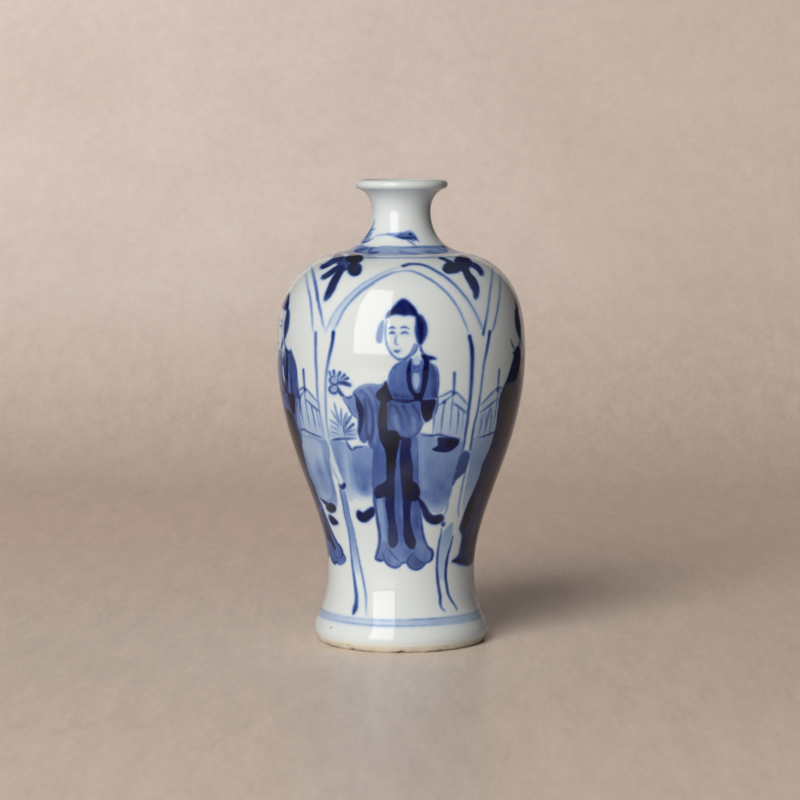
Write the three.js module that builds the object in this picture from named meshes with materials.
// Small porcelain baluster vase: a flared turned foot, a long body that swells to a high
// round shoulder, and a short narrow neck under a rolled lip.
// The potter throws it in three sections, joins them with rings of wet slip, turns the foot,
// and coats the biscuit with clear glaze outside, inside and in the recess under the base.
// Only the foot ring stays bare. Millimetres, +Z up, the origin at the centre of the foot.
import * as THREE from "three";

// Heights, stacked from the table up to the rim
const FOOT_BULGE_HEIGHT = 3.4;
const FOOT_TO_WAIST = 15.1;
const WAIST_TO_BELLY = 57.5;
const BELLY_TO_SHOULDER = 25.3;
const SHOULDER_TO_NECK = 10.5;
const NECK_TO_RIM = 8.2;

// Radii of the glazed outside
const FOOT_CONTACT_RADIUS = 21.3;
const FOOT_BULGE_RADIUS = 22.8;
const WAIST_RADIUS = 19.1;
const BELLY_RADIUS = 32.3;
const SHOULDER_RADIUS = 16.0;
const NECK_RADIUS = 7.65;
const LIP_RADIUS = 12.1;
const LIP_THICKNESS = 2.4;
const SHOULDER_SLOPE = THREE.MathUtils.degToRad(10);

// Where the flare of the neck runs into the roll of the lip, as an angle round the roll
const LIP_MEETS = THREE.MathUtils.degToRad(-72);

// Walls, foot ring and coats
const BODY_WALL = 2.6;
const NECK_WALL = 2.1;
const FLOOR_THICKNESS = 4.0;
const FLOOR_FLAT_RADIUS = 8.0;
const FOOT_RING_WIDTH = 4.0;
const FOOT_RING_BEVEL = 0.6;
const RECESS_DEPTH = 2.8;
const RECESS_COVE = 1.2;
const GLAZE = 0.3;
const BARE_FOOT_HEIGHT = 1.7;

// Joins between the thrown sections
const SEAM_BELOW_BELLY = 18.0;
const SEAM_ABOVE_SHOULDER = 2.0;
const SLIP_THICKNESS = 0.6;
const BEAD_HEIGHT = 2.0;
const BEAD_DEPTH = 0.5;

// Levels that follow from the stacked heights
const waistLevel = FOOT_BULGE_HEIGHT + FOOT_TO_WAIST;
const bellyLevel = waistLevel + WAIST_TO_BELLY;
const shoulderLevel = bellyLevel + BELLY_TO_SHOULDER;
const neckLevel = shoulderLevel + SHOULDER_TO_NECK;
const rimLevel = neckLevel + NECK_TO_RIM;
const lipLevel = rimLevel - LIP_THICKNESS / 2;
const floorLevel = RECESS_DEPTH + FLOOR_THICKNESS;
const bodySeamLevel = bellyLevel - SEAM_BELOW_BELLY;
const neckSeamLevel = shoulderLevel + SEAM_ABOVE_SHOULDER;
const lipCentreRadius = LIP_RADIUS - LIP_THICKNESS / 2;

// How far each curve holds its direction after its start and before its end, as a share of its
// rise, or of its run where it lies nearly level
const HOLD = {
  foot: [0.3, 0.4],
  flare: [0.18, 0.66],
  body: [0.3, 0.44],
  shoulder: [0.59, 0.7],
  throat: [0.72, 0.43],
  lipUnderside: [0.62, 0.5],
  bowl: [1, 0.7],
  mouth: [0.75, 0.12],
};

// Steps round the axis and along the curves
const STEPS_ROUND = 32;
const FOOT_STEPS = 2;
const FLARE_STEPS = 4;
const BODY_STEPS = 6;
const SHOULDER_STEPS = 6;
const THROAT_STEPS = 4;
const LIP_UNDERSIDE_STEPS = 2;
const LIP_STEPS = 6;
const BOWL_STEPS = 4;
const MOUTH_STEPS = 4;
const COVE_STEPS = 3;

// Two levels or points closer than this are the same
const SAME = 1e-6;

const porcelain = new THREE.MeshStandardMaterial({ color: 0xe2d3b8, roughness: 0.85, metalness: 0 });
const slip = new THREE.MeshStandardMaterial({ color: 0xddd2be, roughness: 0.9, metalness: 0 });
const blueAndWhiteGlaze = new THREE.MeshStandardMaterial({ color: 0xdde2e2, roughness: 0.08, metalness: 0 });
const clearGlaze = new THREE.MeshStandardMaterial({ color: 0xd9dfdd, roughness: 0.12, metalness: 0 });

const at = (radius, height) => new THREE.Vector2(radius, height);

// A smooth curve between two points, with a handle to leave the first and one to reach the second.
function sweep(start, leave, reach, end) {
  return new THREE.CubicBezierCurve(start, start.clone().add(leave), end.clone().sub(reach), end);
}

const OUTSIDE = 1;
const INSIDE = -1;

// Points along a rising curve, each with the direction that faces out of the clay there.
function trace(curve, steps, side) {
  const stations = [];
  for (let i = 0; i <= steps; i++) {
    const way = curve.getTangent(i / steps);
    stations.push({ point: curve.getPoint(i / steps), out: at(way.y * side, -way.x * side) });
  }
  return stations;
}

// Joined runs of stations, with each shared end kept once.
function joined(...runs) {
  return runs.flatMap((run, index) => (index ? run.slice(1) : run));
}

const moved = ({ point, out }, distance) => ({ point: point.clone().addScaledVector(out, distance), out });
const pointsOf = (stations) => stations.map((station) => station.point);

// The stations with one more at each level, on the straight between its neighbours.
function withLevels(stations, levels) {
  const result = [stations[0]];
  for (let i = 1; i < stations.length; i++) {
    const [low, high] = [stations[i - 1], stations[i]];
    for (const level of levels) {
      if (level <= low.point.y || level >= high.point.y) continue;
      const share = (level - low.point.y) / (high.point.y - low.point.y);
      result.push({
        point: low.point.clone().lerp(high.point, share).setY(level),
        out: low.out.clone().lerp(high.out, share).normalize(),
      });
    }
    result.push(high);
  }
  return result;
}

// The points between two levels, both ends included.
function between(points, low, high) {
  return points.filter((point) => point.y > low - SAME && point.y < high + SAME);
}

// The glazed outside from the edge of the foot up to the underside of the lip
function outsideRun() {
  const edge = at(FOOT_CONTACT_RADIUS, 0);
  const bulge = at(FOOT_BULGE_RADIUS, FOOT_BULGE_HEIGHT);
  const waist = at(WAIST_RADIUS, waistLevel);
  const belly = at(BELLY_RADIUS, bellyLevel);
  const shoulder = at(SHOULDER_RADIUS, shoulderLevel);
  const neck = at(NECK_RADIUS, neckLevel);
  const fromRoll = at(Math.cos(LIP_MEETS), Math.sin(LIP_MEETS));
  const lip = at(lipCentreRadius, lipLevel).addScaledVector(fromRoll, LIP_THICKNESS / 2);
  const up = (length) => at(0, length);
  const outward = (length) => at(length, 0);
  const intoLip = (length) => at(-fromRoll.y, fromRoll.x).multiplyScalar(length);
  const overShoulder = at(-Math.cos(SHOULDER_SLOPE), Math.sin(SHOULDER_SLOPE));
  const across = (length) => overShoulder.clone().multiplyScalar(length);
  const footRun = edge.distanceTo(at(bulge.x, 0));
  const bodyRun = BELLY_RADIUS - SHOULDER_RADIUS;
  const throatRun = SHOULDER_RADIUS - NECK_RADIUS;
  const lipRun = lip.x - neck.x;
  const lipRise = lip.y - neck.y;
  const curve = (start, leave, reach, end, steps) => trace(sweep(start, leave, reach, end), steps, OUTSIDE);
  const [footOut, footUp] = HOLD.foot;
  const [flareUp, flareReach] = HOLD.flare;
  const [bodyUp, bodyReach] = HOLD.body;
  const [bellyUp, bodyAcross] = HOLD.shoulder;
  const [throatAcross, throatUp] = HOLD.throat;
  const [lipUp, lipOut] = HOLD.lipUnderside;
  return joined(
    curve(edge, outward(footRun * footOut), up(FOOT_BULGE_HEIGHT * footUp), bulge, FOOT_STEPS),
    curve(bulge, up(FOOT_TO_WAIST * flareUp), up(FOOT_TO_WAIST * flareReach), waist, FLARE_STEPS),
    curve(waist, up(WAIST_TO_BELLY * bodyUp), up(WAIST_TO_BELLY * bodyReach), belly, BODY_STEPS),
    curve(belly, up(BELLY_TO_SHOULDER * bellyUp), across(bodyRun * bodyAcross), shoulder, SHOULDER_STEPS),
    curve(shoulder, across(throatRun * throatAcross), up(SHOULDER_TO_NECK * throatUp), neck, THROAT_STEPS),
    curve(neck, up(lipRise * lipUp), intoLip(lipRun * lipOut), lip, LIP_UNDERSIDE_STEPS),
  );
}

// The rolled lip, an arc from its underside over the rim to its inner side
function lipRoll(radius, steps) {
  const roll = new THREE.EllipseCurve(lipCentreRadius, lipLevel, radius, radius, LIP_MEETS, Math.PI);
  return roll.getPoints(steps);
}

// The clay's thickness, which eases from the body's to the neck's above the shoulder
function wallAt(height) {
  const share = THREE.MathUtils.smoothstep(height, shoulderLevel, neckLevel);
  return THREE.MathUtils.lerp(BODY_WALL, NECK_WALL, share);
}

// The round bowl of the floor, from its flat middle up to the waist
function bowlCurve() {
  const flatEdge = at(FLOOR_FLAT_RADIUS, floorLevel);
  const waist = at(WAIST_RADIUS - GLAZE - BODY_WALL, waistLevel);
  const leave = at((waist.x - flatEdge.x) * HOLD.bowl[0], 0);
  const reach = at(0, (waist.y - flatEdge.y) * HOLD.bowl[1]);
  return sweep(flatEdge, leave, reach, waist);
}

// The mouth, which opens from the bore of the neck to the inner side of the lip
function mouthCurve() {
  const neck = at(NECK_RADIUS - GLAZE - NECK_WALL, neckLevel);
  const lip = at(LIP_RADIUS - LIP_THICKNESS + GLAZE, lipLevel);
  const [leaveShare, reachShare] = HOLD.mouth;
  const rise = lip.y - neck.y;
  return sweep(neck, at(0, rise * leaveShare), at(0, rise * reachShare), lip);
}

// The clay's inside from the bowl of the floor up to the inner side of the lip
function insideRun(outside) {
  const walls = outside
    .filter(({ point }) => point.y > waistLevel - SAME && point.y < neckLevel + SAME)
    .map((station) => moved(station, -GLAZE - wallAt(station.point.y)))
    .map(({ point, out }) => ({ point, out: out.clone().negate() }));
  return joined(trace(bowlCurve(), BOWL_STEPS, INSIDE), walls, trace(mouthCurve(), MOUTH_STEPS, INSIDE));
}

// A rounded bead of slip squeezed out along a seam inside, raised from the run of the wall
function withBead(stations, level) {
  const raised = (height) => BEAD_DEPTH * Math.max(0, 1 - ((height - level) / (BEAD_HEIGHT / 2)) ** 2);
  return stations.map((station) => moved(station, raised(station.point.y)));
}

// The runs that the sections, the slip and the coats share, with a point wherever two of them part
const seams = [bodySeamLevel, neckSeamLevel];
const slipEdges = seams.flatMap((level) => [level - SLIP_THICKNESS / 2, level + SLIP_THICKNESS / 2]);
const beadLevels = seams.flatMap((level) => [level - BEAD_HEIGHT / 2, level, level + BEAD_HEIGHT / 2]);
const insideLevels = [...slipEdges, ...beadLevels].sort((a, b) => a - b);
const outside = withLevels(outsideRun(), [BARE_FOOT_HEIGHT]);
const underCoat = (station) => (station.point.y > BARE_FOOT_HEIGHT + SAME ? moved(station, -GLAZE) : station);
const clayOutside = withLevels(outside.map(underCoat), slipEdges);
const clayInside = withLevels(insideRun(outside), insideLevels);
const beadedInside = seams.reduce(withBead, clayInside);

// Turns a profile about the vertical axis. A coat is turned the other way round, so that the
// facets where it lies on the clay have the same diagonals as the clay's own.
function turned(name, profile, material, isCoat = false) {
  const geometry = new THREE.LatheGeometry(profile, STEPS_ROUND).rotateX(Math.PI / 2);
  const mesh = new THREE.Mesh(geometry, material);
  mesh.name = name;
  if (isCoat) mesh.scale.y = -1;
  return mesh;
}

const closed = (points) => [...points, points[0].clone()];
const downwards = (points) => [...points].reverse();

// The underside of the base: the recess, its coved corner and the foot ring that the vase stands on
const ringInnerRadius = FOOT_CONTACT_RADIUS - FOOT_RING_WIDTH;

function recessProfile() {
  const cove = new THREE.EllipseCurve(
    ringInnerRadius - RECESS_COVE,
    RECESS_DEPTH - RECESS_COVE,
    RECESS_COVE,
    RECESS_COVE,
    Math.PI / 2,
    0,
    true,
  );
  return [at(0, RECESS_DEPTH), ...cove.getPoints(COVE_STEPS)];
}

function footRing() {
  return [at(ringInnerRadius, FOOT_RING_BEVEL), at(ringInnerRadius + FOOT_RING_BEVEL, 0)];
}

// The lower half with its floor and turned foot
function lowerBody() {
  const top = bodySeamLevel - SLIP_THICKNESS / 2;
  return turned(
    "lower_body",
    [
      ...recessProfile(),
      ...footRing(),
      ...between(pointsOf(clayOutside), 0, top),
      ...downwards(between(pointsOf(clayInside), floorLevel, top)),
      at(0, floorLevel),
    ],
    porcelain,
  );
}

// A thrown section that is open at both ends
function section(name, low, high) {
  const outer = between(pointsOf(clayOutside), low, high);
  const inner = between(pointsOf(clayInside), low, high);
  return turned(name, closed([...outer, ...downwards(inner)]), porcelain);
}

const upperBody = () =>
  section("upper_body", bodySeamLevel + SLIP_THICKNESS / 2, neckSeamLevel - SLIP_THICKNESS / 2);

// The neck and its mouth, which ends in the rolled lip
function neckAndMouth() {
  const low = neckSeamLevel + SLIP_THICKNESS / 2;
  const outer = between(pointsOf(clayOutside), low, rimLevel).slice(0, -1);
  const inner = between(pointsOf(clayInside), low, lipLevel).slice(0, -1);
  const roll = lipRoll(LIP_THICKNESS / 2 - GLAZE, LIP_STEPS);
  return turned("neck_and_mouth", closed([...outer, ...roll, ...downwards(inner)]), porcelain);
}

// A ring of slip in the join between two sections, with its bead inside
function slipRing(name, level) {
  const half = SLIP_THICKNESS / 2;
  const reach = BEAD_HEIGHT / 2;
  const outer = between(pointsOf(clayOutside), level - half, level + half);
  const wallAbove = between(pointsOf(clayInside), level + half, level + reach);
  const wallBelow = between(pointsOf(clayInside), level - reach, level - half);
  const bead = between(pointsOf(clayInside), level - reach, level + reach).length;
  const first = clayInside.findIndex(({ point }) => point.y > level - reach - SAME);
  const raised = pointsOf(beadedInside.slice(first + 1, first + bead - 1));
  return turned(name, closed([...outer, ...wallAbove, ...downwards(raised), ...wallBelow]), slip);
}

// The painted glaze from the bare foot up over the lip
function outsideGlaze() {
  const coat = between(pointsOf(outside), BARE_FOOT_HEIGHT, rimLevel).slice(0, -1);
  const clay = between(pointsOf(clayOutside), BARE_FOOT_HEIGHT, rimLevel).slice(1, -1);
  const coatRoll = lipRoll(LIP_THICKNESS / 2, LIP_STEPS);
  const clayRoll = lipRoll(LIP_THICKNESS / 2 - GLAZE, LIP_STEPS);
  const profile = [...coat, ...coatRoll, ...downwards([...clay, ...clayRoll])];
  return turned("outside_glaze", closed(profile), blueAndWhiteGlaze, true);
}

// The glaze that was poured in and swilled round, from the floor up to the lip
function insideGlaze() {
  const clay = pointsOf(beadedInside);
  const coat = beadedInside.map((station) => moved(station, GLAZE).point);
  const profile = [at(0, floorLevel), ...clay, ...downwards(coat), at(0, floorLevel + GLAZE)];
  return turned("inside_glaze", profile, clearGlaze, true);
}

// The glaze in the recess under the base, which thins out to nothing at the foot ring
function baseGlaze() {
  const clay = recessProfile();
  const [flatEdge, firstOfCove, secondOfCove] = clay.slice(1);
  const coat = [
    at(0, RECESS_DEPTH - GLAZE),
    flatEdge.clone().add(at(0, -GLAZE)),
    firstOfCove.clone().add(at(-GLAZE / 2, -GLAZE)),
    secondOfCove.clone().add(at(-GLAZE, -GLAZE / 2)),
  ];
  return turned("base_glaze", [...coat, ...downwards(clay)], clearGlaze, true);
}

const vase = new THREE.Group();
vase.add(
  lowerBody(),
  slipRing("body_seam_slip", bodySeamLevel),
  upperBody(),
  slipRing("neck_seam_slip", neckSeamLevel),
  neckAndMouth(),
  outsideGlaze(),
  insideGlaze(),
  baseGlaze(),
);

export default vase;
